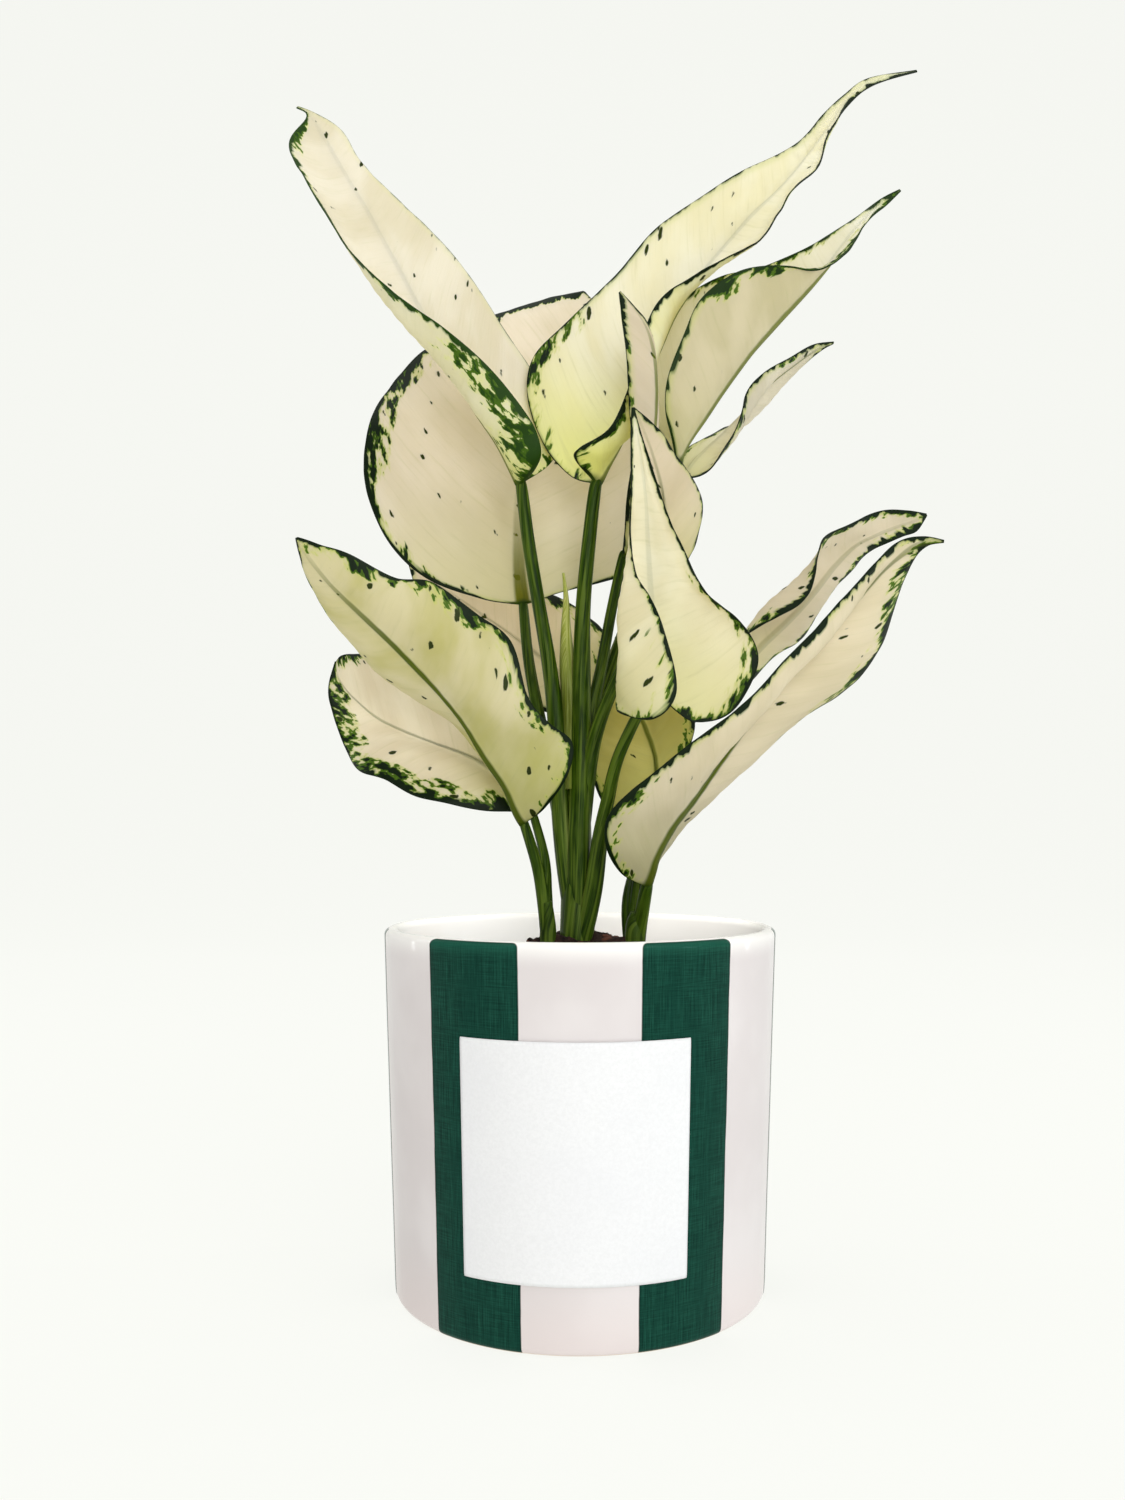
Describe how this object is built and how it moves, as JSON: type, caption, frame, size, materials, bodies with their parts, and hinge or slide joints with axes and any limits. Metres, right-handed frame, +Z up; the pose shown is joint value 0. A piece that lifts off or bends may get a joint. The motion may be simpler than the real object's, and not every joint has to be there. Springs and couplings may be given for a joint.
{
  "type": "potted white joy chinese evergreen",
  "caption": "Chinese evergreen house plant with broad cream leaves edged in dark green on upright stalks, in a striped glazed round cover pot with a blank label.",
  "frame": {"origin": "centre of the pot's flat bottom", "axes": "+Z up along the pot's axis; -Y towards the front of the plant, where the label is; +X to the viewer's right when the front is seen"},
  "size_m": [0.2375, 0.1398, 0.4446],
  "materials": {
    "glaze": "gloss",
    "paper": "matte",
    "plastic": "satin",
    "soil": "matte",
    "stalk": "satin",
    "leaf": "satin"
  },
  "bodies": {
    "root": {"pot": "glaze", "label": "paper", "grow_pot": "plastic", "soil": "soil", "shoot_left": "stalk", "shoot_centre": "stalk", "shoot_right": "stalk", "leaf_upper_left": "leaf", "leaf_upper_right": "leaf", "leaf_right_upper": "leaf", "leaf_right_small": "leaf", "leaf_back_round": "leaf", "leaf_lower_left_front": "leaf", "leaf_lower_left_back": "leaf", "leaf_back_low": "leaf", "leaf_centre_front": "leaf", "leaf_centre_behind": "leaf", "leaf_centre_tall": "leaf", "leaf_lower_right_front": "leaf", "leaf_right_back": "leaf", "leaf_low_back": "leaf"}
  },
  "joints": []
}
